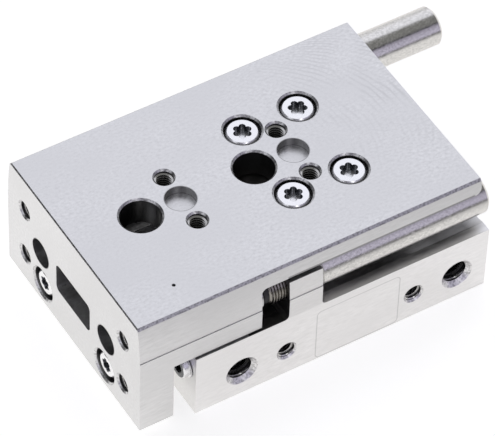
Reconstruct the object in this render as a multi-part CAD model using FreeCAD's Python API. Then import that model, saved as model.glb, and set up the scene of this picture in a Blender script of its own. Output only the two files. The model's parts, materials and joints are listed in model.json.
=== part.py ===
import FreeCAD, Part
import math
import os

# Pneumatic slide table: a housing with two cylinders side by side, a rail with a ball carriage
# between them, and an L-shaped table whose yoke is screwed to both piston rods.
# Millimetres, +Z up. X runs along the stroke and the table advances towards -X. The ported side
# is at -Y (near). The origin is the centre of the housing's underside. The table is retracted.

# Whole unit
table_width = 40.5
housing_margin = 0.3
housing_length = 52.6
stroke = 20.0
contact_gap = 0.05

# Sides of the housing lugs and of the table
crease_drop = 1.0
crease_step = 0.1
flank_lean = 0.8
flank_bulge = 0.1
top_chamfer = 0.4
front_chamfer = 0.2

# Table and yoke
yoke_thickness = 5.9
yoke_gap = 3.7
yoke_lift = 1.5
table_rear_inset = 1.6
spine_thickness = 5.4
spine_margin = 1.2
rim_thickness = 2.85
rim_corner = 1.2
notch_corner = 1.0
skirt_gap = 0.35

# Housing
floor_wall = 1.5
deck_wall = 0.8
edge_step = 2.35
deck_step = 1.7
channel_gap = 0.8
lug_corner = 0.8

# Stop cartridges, their lugs and the buttons that they meet
stop_inset = 3.35
stop_drop = 6.15
sleeve_radius = 3.3
sleeve_length = 30.5
sleeve_chamfer = 0.5
sleeve_gap = 0.35
stud_radius = 3.0
tip_reach = 4.0
buffer_length = 1.1
buffer_radius = 2.4
buffer_stem_radius = 1.2
buffer_stem_length = 2.5
lug_setback = 16.3
lug_length = 5.9
lug_wall = 1.3
lug_rise = 2.7
end_lug_length = 5.0
trough_gap = 2.2
key_width = 2.5
key_depth = 2.2
button_radius = 2.9
button_proud = 0.6
button_shank_radius = 1.5
button_shank_length = 2.5
press_gap = 0.02

# Guide
guide_height = 10.0
rail_width = 9.0
rail_height = 6.5
rail_inset = 0.3
rail_slot_gap = 0.05
rail_screw_pitch = 20.0
carriage_setback = 39.25
carriage_width = 20.0
carriage_lift = 2.0
block_length = 18.9
cap_length = 4.2
cap_inset = 0.2
wiper_length = 0.8
guide_gap = 0.35
ball_radius = 0.72
ball_gap = 0.08
ball_height = 4.3
ball_pitch = 2.3
ball_meridians = 10
ball_bands = 6
return_offset = 2.7

# Cylinders
cylinder_pitch = 19.0
bore_radius = 4.0
rod_radius = 2.0
spigot_radius = 1.4
running_gap = 0.05
piston_length = 11.0
bumper_radius = 2.8
bumper_length = 2.6
bumper_gap = 0.3
ring_inset = 0.6
ring_thickness = 0.6
ring_width = 1.2
ring_bite = 0.5
bush_length = 4.0
rod_seal_length = 1.8
cover_length = 2.7
groove_depth = 0.9
groove_length = 1.4
magnet_length = 2.5
land_length = 1.8
passage_radius = 1.0

# Screws
m3_radius = 1.5
m3_head_radius = 2.75
m3_head_height = 2.0
m3_counterbore_radius = 3.0
head_recess = 0.3
m25_radius = 1.25
m25_head_radius = 2.25
m25_head_height = 2.0
rod_head_recess = 0.4
rod_counterbore_radius = 2.85
rod_screw_length = 9.8
rail_head_height = 3.0
rail_screw_depth = 4.2
screw_gap = 0.15
thread_gap = 0.02
chamfer = 0.3
drill_tip = 0.6

# Interfaces on the table
top_first = 18.8
top_pitch = 20.0
top_thread_offset = 5.0
top_thread_depth = 4.4
pin_radius = 2.5
pin_depth = 1.5
access_first = 11.8
access_radius = 3.3
dimple_setback = 9.1
dimple_inset = 5.85
dimple_radius = 0.3
dimple_depth = 0.35
carriage_screw_pitch_x = 10.0
carriage_screw_inset = 2.5
carriage_thread_depth = 3.5

# Interfaces on the yoke
yoke_thread_pitch_y = 30.0
yoke_thread_pitch_z = 10.0
yoke_thread_low = 7.15
yoke_thread_depth = 4.8
yoke_pin_pitch = 20.0
yoke_pin_height = 12.2
yoke_pin_depth = 3.0
window_width = 10.3
window_height = 5.8
window_floor = 8.9
window_corner = 1.0

# Interfaces on the housing
port_radius = 2.5
port_depth = 5.5
port_height = 5.2
front_port_inset = 8.2
rear_port_inset = 5.4
side_thread_first = 16.2
side_thread_pitch = 23.0
side_thread_height = 5.15
side_thread_depth = 5.0
base_thread_pitch_x = 10.0
base_thread_pitch_y = 34.0
base_thread_depth = 5.0
base_pin_pitch = 40.0
sensor_slot_radius = 1.45
sensor_slot_mouth = 2.0
sensor_slot_height = 8.6
sensor_slot_wall = 0.3
set_screw_inset = 3.45
set_screw_height = 8.65
set_screw_radius = 2.5
set_screw_depth = 4.5
set_screw_proud = 1.3
set_screw_socket_radius = 1.45
set_screw_socket_depth = 2.5

# Worked out from the sizes above
OVER = 1.0
half_table = table_width / 2
half_housing = half_table + housing_margin
front = -housing_length / 2
rear = housing_length / 2
yoke_back = front - yoke_gap
table_front = yoke_back - yoke_thickness
table_rear = rear - table_rear_inset
cylinder_height = floor_wall + bore_radius
deck_height = cylinder_height + bore_radius + deck_wall
edge_height = deck_height + edge_step
skirt_under = edge_height + skirt_gap
rail_seat = deck_height - deck_step
rail_top = rail_seat + rail_height
spine_under = rail_seat + guide_height
total_height = spine_under + spine_thickness
rim_under = total_height - rim_thickness
stop_height = total_height - stop_drop
crease_height = stop_height - crease_drop
lug_height = stop_height + lug_rise
channel_half = carriage_width / 2 + channel_gap
spine_half = carriage_width / 2 + spine_margin
stop_y = half_table - stop_inset
lug_inner = stop_y - stud_radius - lug_wall
trough_radius = sleeve_radius + trough_gap
near_lug_front = front + lug_setback
near_lug_rear = near_lug_front + lug_length
near_tip = near_lug_front - tip_reach
skirt_end = near_tip - contact_gap - button_proud
far_lug_rear = front + end_lug_length
far_tip = far_lug_rear + button_proud + contact_gap + stroke
clamp_front = far_tip + tip_reach
clamp_rear = clamp_front + lug_length
carriage_x = table_front + carriage_setback
block_front = carriage_x - block_length / 2
block_rear = carriage_x + block_length / 2
ball_y = rail_width / 2 + guide_gap / 2
ball_z = rail_seat + ball_height
groove_radius = ball_radius + ball_gap
cylinder_y = cylinder_pitch / 2
gland_rear = front + ring_inset + ring_thickness + bush_length + rod_seal_length
cover_front = rear - ring_inset - ring_thickness - cover_length
bumper_rear = cover_front - bumper_gap
piston_rear = bumper_rear - bumper_length
piston_front = piston_rear - piston_length
SIDES = (-1, 1)
AXIS = {"x": FreeCAD.Vector(1, 0, 0), "y": FreeCAD.Vector(0, 1, 0), "z": FreeCAD.Vector(0, 0, 1)}


def vec(x, y, z):
    return FreeCAD.Vector(x, y, z)


def box(x0, x1, y0, y1, z0, z1):
    return Part.makeBox(x1 - x0, y1 - y0, z1 - z0, vec(x0, y0, z0))


def turned(profile, start, direction):
    """A solid turned about the line from start along direction. The profile is (distance, radius) pairs."""
    points = [vec(r, 0, a) for a, r in profile]
    points.append(points[0])
    solid = Part.Face(Part.makePolygon(points)).revolve(vec(0, 0, 0), AXIS["z"], 360)
    solid.Placement = FreeCAD.Placement(start, FreeCAD.Rotation(AXIS["z"], direction))
    return solid


def rod(start, direction, length, radius):
    return Part.makeCylinder(radius, length, start, direction)


def sleeve(start, direction, length, outer, inner):
    return rod(start, direction, length, outer).cut(rod(start, direction, length, inner))


def hexagon_key(mouth, direction, across_flats, depth):
    """Cutter for an internal hexagon."""
    corner = across_flats / math.sqrt(3)
    points = [vec(corner * math.cos(k * math.pi / 3), corner * math.sin(k * math.pi / 3), 0) for k in range(7)]
    prism = Part.Face(Part.makePolygon(points)).extrude(vec(0, 0, depth))
    prism.Placement = FreeCAD.Placement(mouth, FreeCAD.Rotation(AXIS["z"], direction))
    return prism


def drilling(mouth, direction, depth, radius, bevel=chamfer):
    """A blind hole with a bevelled mouth and a shallow drill point, as a cutting tool."""
    profile = [
        (-OVER, 0),
        (-OVER, radius + bevel),
        (0, radius + bevel),
        (bevel, radius),
        (depth, radius),
        (depth + drill_tip, 0),
    ]
    return turned(profile, mouth, direction)


def pocket(x0, x1, y0, y1, z0, z1, corner, along="y"):
    """A box-shaped cutter whose edges along one axis are rounded."""
    solid = box(x0, x1, y0, y1, z0, z1)
    edges = [e for e in solid.Edges if e.tangentAt(e.FirstParameter).cross(AXIS[along]).Length < 1e-6]
    return solid.makeFillet(corner, edges)


def envelope(half, x0, x1, z0):
    """The outline that the table and the lugs share: upright sides, a small ledge, a lean and a chamfer."""
    ledge_y = half - crease_step
    shoulder_y = half - flank_lean
    shoulder_z = total_height - top_chamfer
    crown_y = shoulder_y - top_chamfer
    bulge_y = (ledge_y + shoulder_y) / 2 + flank_bulge
    bulge_z = (crease_height + shoulder_z) / 2
    edges = [
        Part.LineSegment(vec(x0, -half, z0), vec(x0, half, z0)).toShape(),
        Part.LineSegment(vec(x0, -crown_y, total_height), vec(x0, crown_y, total_height)).toShape(),
    ]
    for s in SIDES:
        foot = vec(x0, s * half, z0)
        crease = vec(x0, s * half, crease_height)
        ledge = vec(x0, s * ledge_y, crease_height)
        shoulder = vec(x0, s * shoulder_y, shoulder_z)
        crown = vec(x0, s * crown_y, total_height)
        edges.append(Part.LineSegment(foot, crease).toShape())
        edges.append(Part.LineSegment(crease, ledge).toShape())
        edges.append(Part.Arc(ledge, vec(x0, s * bulge_y, bulge_z), shoulder).toShape())
        edges.append(Part.LineSegment(shoulder, crown).toShape())
    outline = Part.Wire(Part.__sortEdges__(edges))
    return Part.Face(outline).extrude(vec(x1 - x0, 0, 0))


def trough(side, x0, x1, round0, round1):
    """Cutter that clears the stop rod beside a lug: a rounded pocket above a trough round the rod's axis."""
    y0, y1 = sorted((side * lug_inner, side * (half_housing + OVER)))
    start = x0 if round0 else x0 - OVER - lug_corner
    end = x1 if round1 else x1 + OVER + lug_corner
    upper = pocket(start, end, y0, y1, edge_height, total_height + OVER, lug_corner)
    lower_start = start + lug_corner
    lower = rod(vec(lower_start, side * stop_y, stop_height), AXIS["x"], end - lug_corner - lower_start, trough_radius)
    return upper.fuse(lower)


def ball_grooves():
    """Cutters for the two ball tracks, shared by the rail and the carriage block."""
    length = housing_length + 2 * OVER
    return [rod(vec(front - OVER, s * ball_y, ball_z), AXIS["x"], length, groove_radius) for s in SIDES]


def port_places():
    return [front + front_port_inset, rear - rear_port_inset]


def housing():
    """Milled block with two bores, lugs for the near stop cartridge and the far stop button."""
    body = envelope(half_housing, front, rear, 0)
    body = body.common(box(front, rear, -half_housing, half_housing, 0, lug_height))
    body = body.cut(box(front - OVER, rear + OVER, -lug_inner, lug_inner, edge_height, total_height))
    body = body.cut(trough(-1, front, near_lug_front, False, True))
    body = body.cut(trough(-1, near_lug_rear, rear, True, False))
    body = body.cut(trough(1, far_lug_rear, rear, True, False))
    slot_half = rail_width / 2 + rail_slot_gap
    tools = [
        box(front - OVER, rear + OVER, -channel_half, channel_half, deck_height, total_height),
        box(front - OVER, rear + OVER, -slot_half, slot_half, rail_seat, total_height),
        rod(vec(near_lug_front - OVER, -stop_y, stop_height), AXIS["x"], lug_length + 2 * OVER,
            stud_radius + thread_gap),
        rod(vec(far_lug_rear - button_shank_length, stop_y, stop_height), AXIS["x"],
            button_shank_length + OVER, button_shank_radius + press_gap),
    ]
    for s in SIDES:
        y = s * cylinder_y
        tools.append(rod(vec(front - OVER, y, cylinder_height), AXIS["x"], housing_length + 2 * OVER, bore_radius))
        for x in (front + ring_inset, rear - ring_inset - ring_thickness):
            tools.append(rod(vec(x, y, cylinder_height), AXIS["x"], ring_thickness, bore_radius + ring_bite))
    for x in port_places():
        mouth = vec(x, -half_housing, port_height)
        tools.append(drilling(mouth, AXIS["y"], port_depth, port_radius))
        tools.append(rod(mouth, AXIS["y"], half_housing + cylinder_y, passage_radius))
    for i in range(2):
        mouth = vec(front + side_thread_first + i * side_thread_pitch, -half_housing, side_thread_height)
        tools.append(drilling(mouth, AXIS["y"], side_thread_depth, m3_radius))
    for sx in SIDES:
        seat = vec(sx * rail_screw_pitch / 2, 0, rail_seat)
        tools.append(drilling(seat, -AXIS["z"], rail_screw_depth + drill_tip, m3_radius + thread_gap, 0.1))
        tools.append(rod(vec(sx * base_pin_pitch / 2, 0, 0), AXIS["z"], pin_depth, pin_radius))
        for sy in SIDES:
            mouth = vec(sx * base_thread_pitch_x / 2, sy * base_thread_pitch_y / 2, 0)
            tools.append(drilling(mouth, AXIS["z"], base_thread_depth, m3_radius))
    slot_y = half_housing - sensor_slot_radius - sensor_slot_wall
    tools.append(rod(vec(front - OVER, slot_y, sensor_slot_height), AXIS["x"], housing_length + 2 * OVER,
                     sensor_slot_radius))
    mouth_half = sensor_slot_mouth / 2
    tools.append(box(front - OVER, rear + OVER, slot_y, half_housing + OVER,
                     sensor_slot_height - mouth_half, sensor_slot_height + mouth_half))
    screw_y = set_screw_inset - half_housing
    tools.append(rod(vec(front - OVER, screw_y, set_screw_height), AXIS["x"],
                     OVER + set_screw_depth + screw_gap, set_screw_radius + thread_gap))
    return body.cut(tools)


def slide_table():
    """Table, yoke, near skirt and far clamp lug, milled from one piece."""
    end = table_rear + OVER + notch_corner
    body = envelope(half_table, table_front, table_rear, yoke_lift)
    body = body.cut(box(yoke_back, end, -half_table - OVER, half_table + OVER, 0, skirt_under))
    under = [pocket(yoke_back, end, -spine_half, spine_half, 0, spine_under, notch_corner)]
    for s in SIDES:
        y0, y1 = sorted((s * (spine_half - OVER), s * lug_inner))
        under.append(pocket(yoke_back, end, y0, y1, 0, rim_under, notch_corner))
        under[-1] = under[-1].cut(box(yoke_back, end, -spine_half, spine_half, spine_under, total_height))
    y0, y1 = -half_table - OVER, -lug_inner
    under.append(pocket(skirt_end, end, y0, y1, 0, rim_under, notch_corner))
    under.append(pocket(yoke_back, clamp_front, -y1, -y0, 0, rim_under, notch_corner))
    under.append(pocket(clamp_rear, end, -y1, -y0, 0, rim_under, notch_corner))
    for cutter in under:
        body = body.cut(cutter)
    relief = sleeve_radius + sleeve_gap
    tools = []
    for s, start in ((-1, skirt_end + notch_corner), (1, clamp_rear)):
        tools.append(rod(vec(start, s * stop_y, stop_height), AXIS["x"], end - start, relief))
        y0, y1 = sorted((s * spine_half, s * (half_table + OVER)))
        corner = box(table_rear - rim_corner, end, y0, y1, rim_under - OVER, rim_under + rim_corner)
        round_bar = rod(vec(table_rear - rim_corner, y0, rim_under + rim_corner), AXIS["y"], y1 - y0, rim_corner)
        tools.append(corner.cut(round_bar))
    tools.append(rod(vec(clamp_front - OVER, stop_y, stop_height), AXIS["x"], lug_length + 2 * OVER,
                     stud_radius + thread_gap))
    corner = [(0, -front_chamfer), (-OVER, -front_chamfer - OVER), (-OVER, OVER), (front_chamfer + OVER, OVER),
              (front_chamfer, 0), (0, -front_chamfer)]
    wedge = Part.makePolygon([vec(table_front + x, -half_table, total_height + z) for x, z in corner])
    tools.append(Part.Face(wedge).extrude(vec(0, table_width, 0)))
    tools.append(rod(vec(skirt_end - button_shank_length, -stop_y, stop_height), AXIS["x"],
                     button_shank_length + OVER, button_shank_radius + press_gap))
    tools.append(rod(vec(skirt_end, -stop_y, stop_height), AXIS["x"], notch_corner + OVER,
                     button_radius + press_gap))
    return body.cut(tools + top_holes() + yoke_holes())


def top_holes():
    """Cutters for the table's top: pin, thread, access and screw holes, and the punched dimple."""
    tools = []
    for i in range(2):
        x = table_front + top_first + i * top_pitch
        tools.append(rod(vec(x, 0, total_height - pin_depth), AXIS["z"], pin_depth + OVER, pin_radius))
        for s in SIDES:
            mouth = vec(x, s * top_thread_offset, total_height)
            tools.append(drilling(mouth, -AXIS["z"], top_thread_depth, m3_radius))
        x = table_front + access_first + i * top_pitch
        tools.append(drilling(vec(x, 0, total_height), -AXIS["z"], spine_thickness + OVER, access_radius))
        tools.append(drilling(vec(x, 0, spine_under), AXIS["z"], 2 * chamfer, access_radius))
    floor = head_recess + m3_head_height
    for x, y in carriage_screw_places():
        mouth = vec(x, y, total_height)
        tools.append(drilling(mouth, -AXIS["z"], spine_thickness + OVER, m3_radius + screw_gap))
        profile = [
            (-OVER, 0),
            (-OVER, m3_counterbore_radius + chamfer),
            (0, m3_counterbore_radius + chamfer),
            (chamfer, m3_counterbore_radius),
            (floor, m3_counterbore_radius),
            (floor, 0),
        ]
        tools.append(turned(profile, mouth, -AXIS["z"]))
    dimple = [(-OVER, 0), (-OVER, dimple_radius), (0, dimple_radius), (dimple_depth, 0)]
    place = vec(table_front + dimple_setback, dimple_inset - half_table, total_height)
    tools.append(turned(dimple, place, -AXIS["z"]))
    return tools


def yoke_holes():
    tools = []
    for sy in SIDES:
        for i in range(2):
            z = yoke_thread_low + i * yoke_thread_pitch_z
            mouth = vec(table_front, sy * yoke_thread_pitch_y / 2, z)
            tools.append(drilling(mouth, AXIS["x"], yoke_thread_depth, m3_radius))
        mouth = vec(table_front - OVER, sy * yoke_pin_pitch / 2, yoke_pin_height)
        tools.append(rod(mouth, AXIS["x"], yoke_pin_depth + OVER, pin_radius))
        floor = rod_head_recess + m25_head_height
        profile = [
            (-OVER, 0),
            (-OVER, rod_counterbore_radius + chamfer),
            (0, rod_counterbore_radius + chamfer),
            (chamfer, rod_counterbore_radius),
            (floor, rod_counterbore_radius),
            (floor, m25_radius + screw_gap),
            (yoke_thickness + OVER, m25_radius + screw_gap),
            (yoke_thickness + OVER, 0),
        ]
        tools.append(turned(profile, vec(table_front, sy * cylinder_y, cylinder_height), AXIS["x"]))
    window = pocket(table_front - OVER, yoke_back + OVER, -window_width / 2, window_width / 2,
                    window_floor, window_floor + window_height, window_corner, "x")
    return tools + [window]


def carriage_screw_places():
    half_x, half_y = carriage_screw_pitch_x / 2, carriage_width / 2 - carriage_screw_inset
    return [(carriage_x + sx * half_x, sy * half_y) for sx in SIDES for sy in SIDES]


def guide_rail():
    """Rail with two ball tracks and counterbored screw holes."""
    half = rail_width / 2
    body = box(front + rail_inset, rear - rail_inset, -half, half, rail_seat, rail_top)
    tools = ball_grooves()
    for s in SIDES:
        top = vec(s * rail_screw_pitch / 2, 0, rail_top)
        tools.append(rod(top, -AXIS["z"], rail_height + OVER, m3_radius + screw_gap))
        tools.append(rod(top, -AXIS["z"], rail_head_height + head_recess, m3_counterbore_radius))
    return body.cut(tools)


def screw(head_top, direction, head_radius, head_height, radius, length):
    """A cap screw: direction points from the head to the tip, length is the whole length."""
    profile = [
        (0, 0),
        (0, head_radius),
        (head_height, head_radius),
        (head_height, radius),
        (length, radius),
        (length, 0),
    ]
    return turned(profile, head_top, direction)


def rail_screws():
    z = rail_top - head_recess
    length = z - rail_seat + rail_screw_depth
    places = [vec(s * rail_screw_pitch / 2, 0, z) for s in SIDES]
    return [screw(p, -AXIS["z"], m3_head_radius, rail_head_height, m3_radius, length) for p in places]


def carriage_section(x0, x1, inset, side_gap):
    """The carriage's inverted U over the rail, between two places along X."""
    outer = carriage_width / 2 - inset
    bottom, top = rail_seat + carriage_lift, spine_under - inset
    body = box(x0, x1, -outer, outer, bottom, top)
    inner = rail_width / 2 + side_gap
    return body.cut(box(x0 - OVER, x1 + OVER, -inner, inner, bottom - OVER, rail_top + side_gap))


def guide_carriage():
    """Hardened block with ball tracks, return bores and four tapped holes."""
    body = carriage_section(block_front, block_rear, 0, guide_gap)
    tools = ball_grooves()
    for s in SIDES:
        start = vec(block_front - OVER, s * (ball_y + return_offset), ball_z)
        tools.append(rod(start, AXIS["x"], block_length + 2 * OVER, groove_radius))
    for x, y in carriage_screw_places():
        mouth = vec(x, y, spine_under)
        tools.append(drilling(mouth, -AXIS["z"], carriage_thread_depth, m3_radius + thread_gap, 0.1))
    return body.cut(tools)


def carriage_end_caps():
    pair = []
    for x0 in (block_front - cap_length, block_rear):
        pair.append(carriage_section(x0, x0 + cap_length, cap_inset, guide_gap))
    return pair


def carriage_wipers():
    pair = []
    for x0 in (block_front - cap_length - wiper_length, block_rear + cap_length):
        pair.append(carriage_section(x0, x0 + wiper_length, 2 * cap_inset, guide_gap / 2))
    return pair


def faceted_ball(centre):
    """A ball of flat facets between rings of equal latitude, light enough to be repeated in rows."""
    rings = []
    for i in range(1, ball_bands):
        tilt = math.pi * i / ball_bands
        r, z = ball_radius * math.sin(tilt), ball_radius * math.cos(tilt)
        turns = [2 * math.pi * k / ball_meridians for k in range(ball_meridians)]
        rings.append([centre + vec(r * math.cos(t), r * math.sin(t), z) for t in turns])
    poles = [centre + vec(0, 0, ball_radius), centre - vec(0, 0, ball_radius)]
    outlines = []
    for k in range(ball_meridians):
        after = (k + 1) % ball_meridians
        outlines.append([poles[0], rings[0][k], rings[0][after]])
        outlines.append([poles[1], rings[-1][after], rings[-1][k]])
        for upper, lower in zip(rings, rings[1:]):
            outlines.append([upper[k], lower[k], lower[after], upper[after]])
    faces = [Part.Face(Part.makePolygon(points + points[:1])) for points in outlines]
    return Part.makeSolid(Part.makeShell(faces))


def carriage_balls():
    count = int(block_length / ball_pitch)
    first = carriage_x - (count - 1) * ball_pitch / 2
    return [faceted_ball(vec(first + i * ball_pitch, s * ball_y, ball_z)) for s in SIDES for i in range(count)]


def carriage_screws():
    z = total_height - head_recess
    length = z - spine_under + carriage_thread_depth - screw_gap
    places = [vec(x, y, z) for x, y in carriage_screw_places()]
    return [screw(p, -AXIS["z"], m3_head_radius, m3_head_height, m3_radius, length) for p in places]


def rod_screws():
    x = table_front + rod_head_recess
    places = [vec(x, s * cylinder_y, cylinder_height) for s in SIDES]
    return [screw(p, AXIS["x"], m25_head_radius, m25_head_height, m25_radius, rod_screw_length) for p in places]


def piston_rod(side):
    """Rod from the yoke to the piston, with a spigot through the piston and a tapped front end."""
    profile = [
        (0, 0),
        (0, rod_radius),
        (piston_front - yoke_back, rod_radius),
        (piston_front - yoke_back, spigot_radius),
        (piston_rear - yoke_back + bumper_length / 2, spigot_radius),
        (piston_rear - yoke_back + bumper_length / 2, 0),
    ]
    start = vec(yoke_back, side * cylinder_y, cylinder_height)
    tapped = table_front + rod_head_recess + rod_screw_length - yoke_back + screw_gap
    return turned(profile, start, AXIS["x"]).cut(rod(start, AXIS["x"], tapped, m25_radius + thread_gap))


def seal_groove_places():
    """Front ends of the magnet groove and the seal groove in a piston."""
    return piston_front + land_length, piston_rear - land_length - groove_length


def piston(side):
    y, z = side * cylinder_y, cylinder_height
    body = sleeve(vec(piston_front, y, z), AXIS["x"], piston_length, bore_radius - running_gap,
                  spigot_radius + press_gap)
    magnet_x, seal_x = seal_groove_places()
    floor = bore_radius - running_gap - groove_depth
    for x, length in ((magnet_x, magnet_length), (seal_x, groove_length)):
        body = body.cut(sleeve(vec(x, y, z), AXIS["x"], length, bore_radius, floor))
    return body


def piston_rings(x, length, clearance):
    """One ring in the same groove of both pistons, clear of the bore."""
    outer = bore_radius - clearance
    inner = bore_radius - running_gap - groove_depth
    return [sleeve(vec(x, s * cylinder_y, cylinder_height), AXIS["x"], length, outer, inner) for s in SIDES]


def piston_bumpers():
    pair = []
    for s in SIDES:
        start = vec(piston_rear, s * cylinder_y, cylinder_height)
        disc = rod(start, AXIS["x"], bumper_length, bumper_radius)
        pair.append(disc.cut(rod(start, AXIS["x"], bumper_length / 2, spigot_radius + press_gap)))
    return pair


def rod_bushes():
    x = front + ring_inset + ring_thickness
    places = [vec(x, s * cylinder_y, cylinder_height) for s in SIDES]
    return [sleeve(p, AXIS["x"], bush_length, bore_radius - press_gap, rod_radius + running_gap) for p in places]


def rod_seals():
    """Lip seals: a body with a hollow towards the pressure side."""
    x = gland_rear - rod_seal_length
    pair = []
    lip = (bore_radius - rod_radius) / 4
    for s in SIDES:
        start = vec(x, s * cylinder_y, cylinder_height)
        body = sleeve(start, AXIS["x"], rod_seal_length, bore_radius - press_gap, rod_radius + running_gap)
        hollow = sleeve(vec(x + rod_seal_length / 2, s * cylinder_y, cylinder_height), AXIS["x"],
                        rod_seal_length, bore_radius - lip, rod_radius + lip)
        pair.append(body.cut(hollow))
    return pair


def retaining_rings(x):
    """Internal snap rings, open at the bottom, sprung into the grooves of both bores."""
    outer = bore_radius + ring_bite - press_gap
    inner = bore_radius - ring_width
    pair = []
    for s in SIDES:
        start = vec(x, s * cylinder_y, cylinder_height)
        ring = sleeve(start, AXIS["x"], ring_thickness, outer, inner)
        gap = box(x - OVER, x + ring_thickness + OVER, start.y - ring_width / 2, start.y + ring_width / 2,
                  start.z - bore_radius - OVER, start.z)
        pair.append(ring.cut(gap))
    return pair


def rear_covers():
    """Plugs that close the bores at the back, with a groove for the seal."""
    x = cover_front
    groove_x = x + (cover_length - groove_length) / 2
    pair = []
    for s in SIDES:
        plug = rod(vec(x, s * cylinder_y, cylinder_height), AXIS["x"], cover_length, bore_radius - press_gap)
        groove = sleeve(vec(groove_x, s * cylinder_y, cylinder_height), AXIS["x"], groove_length,
                        bore_radius, bore_radius - groove_depth)
        pair.append(plug.cut(groove))
    return pair


def rear_cover_seals():
    """O-rings squeezed flat against the bore and the groove's floor."""
    floor = bore_radius - groove_depth
    top = bore_radius - press_gap
    half = groove_length / 2 - press_gap
    profile = [
        (-half, (floor + top) / 2),
        (-half / 2, floor),
        (half / 2, floor),
        (half, (floor + top) / 2),
        (half / 2, top),
        (-half / 2, top),
    ]
    x = cover_front + cover_length / 2
    return [turned(profile, vec(x, s * cylinder_y, cylinder_height), AXIS["x"]) for s in SIDES]


def stop_cartridge(tip_x, side):
    """Threaded stud with a polished sleeve behind its lug, hollow in front for the buffer's stem.

    A hexagon in the back end turns it in its lug, which sets the end of the stroke.
    """
    shoulder = tip_reach + lug_length
    end = shoulder + sleeve_length
    profile = [
        (buffer_length, buffer_stem_radius + press_gap),
        (buffer_length, stud_radius - chamfer),
        (buffer_length + chamfer, stud_radius),
        (shoulder, stud_radius),
        (shoulder, sleeve_radius - sleeve_chamfer),
        (shoulder + sleeve_chamfer, sleeve_radius),
        (end - sleeve_chamfer, sleeve_radius),
        (end, sleeve_radius - sleeve_chamfer),
        (end, 0),
        (buffer_length + buffer_stem_length, 0),
        (buffer_length + buffer_stem_length, buffer_stem_radius + press_gap),
    ]
    body = turned(profile, vec(tip_x, side * stop_y, stop_height), AXIS["x"])
    return body.cut(hexagon_key(vec(tip_x + end, side * stop_y, stop_height), -AXIS["x"], key_width, key_depth))


def stop_buffer(tip_x, side):
    """Rubber tip with a stem, pressed into the front of a stop cartridge."""
    profile = [
        (0, 0),
        (0, buffer_radius - chamfer),
        (chamfer, buffer_radius),
        (buffer_length, buffer_radius),
        (buffer_length, buffer_stem_radius),
        (buffer_length + buffer_stem_length, buffer_stem_radius),
        (buffer_length + buffer_stem_length, 0),
    ]
    return turned(profile, vec(tip_x, side * stop_y, stop_height), AXIS["x"])


def stop_button(face_x, side):
    """Hardened button pressed into a lug, its head proud of the lug's rear face."""
    profile = [
        (-button_shank_length, 0),
        (-button_shank_length, button_shank_radius),
        (0, button_shank_radius),
        (0, button_radius),
        (button_proud - chamfer / 2, button_radius),
        (button_proud, button_radius - chamfer / 2),
        (button_proud, 0),
    ]
    return turned(profile, vec(face_x, side * stop_y, stop_height), AXIS["x"])


def front_set_screw():
    """Hollow set screw, proud of the housing's front face beside the near cylinder."""
    length = set_screw_proud + set_screw_depth
    profile = [
        (0, set_screw_socket_radius),
        (0, set_screw_radius - chamfer),
        (chamfer, set_screw_radius),
        (length - chamfer, set_screw_radius),
        (length, set_screw_radius - chamfer),
        (length, 0),
        (set_screw_socket_depth, 0),
        (set_screw_socket_depth, set_screw_socket_radius),
    ]
    start = vec(front - set_screw_proud, set_screw_inset - half_housing, set_screw_height)
    return turned(profile, start, AXIS["x"])


def sub_parts():
    magnet_x, seal_x = seal_groove_places()
    return {
        "housing": housing(),
        "guide_rail": guide_rail(),
        "rail_screws": rail_screws(),
        "rod_bushes": rod_bushes(),
        "rod_seals": rod_seals(),
        "front_retaining_rings": retaining_rings(front + ring_inset),
        "rear_covers": rear_covers(),
        "rear_cover_seals": rear_cover_seals(),
        "rear_retaining_rings": retaining_rings(rear - ring_inset - ring_thickness),
        "front_set_screw": front_set_screw(),
        "retract_cartridge": stop_cartridge(near_tip, -1),
        "retract_buffer": stop_buffer(near_tip, -1),
        "advance_button": stop_button(far_lug_rear, 1),
        "slide_table": slide_table(),
        "guide_carriage": guide_carriage(),
        "carriage_end_caps": carriage_end_caps(),
        "carriage_wipers": carriage_wipers(),
        "carriage_balls": carriage_balls(),
        "carriage_screws": carriage_screws(),
        "rod_screws": rod_screws(),
        "near_piston_rod": piston_rod(-1),
        "far_piston_rod": piston_rod(1),
        "near_piston": piston(-1),
        "far_piston": piston(1),
        "piston_magnets": piston_rings(magnet_x, magnet_length, 2 * running_gap),
        "piston_seals": piston_rings(seal_x, groove_length, running_gap),
        "piston_bumpers": piston_bumpers(),
        "retract_button": stop_button(skirt_end, -1),
        "advance_cartridge": stop_cartridge(far_tip, 1),
        "advance_buffer": stop_buffer(far_tip, 1),
    }


def save(name, solids):
    """Writes one node. Several equal pieces stay separate solids in one file."""
    shape = Part.makeCompound(solids) if isinstance(solids, list) else solids
    shape.exportStep(os.path.join("parts", name + ".step"))
    print(name, len(shape.Solids), "solids", round(shape.Volume, 2), "mm3")


os.makedirs("parts", exist_ok=True)
for name, solids in sub_parts().items():
    save(name, solids)
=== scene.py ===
"""Dresses a pneumatic slide table: finishes, threads, screws, stop cartridges, balls, seals and a studio."""

import json
import math

import bmesh
import bpy
from bpy.props import FloatProperty, FloatVectorProperty, PointerProperty
from mathutils import Matrix, Vector


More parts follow.
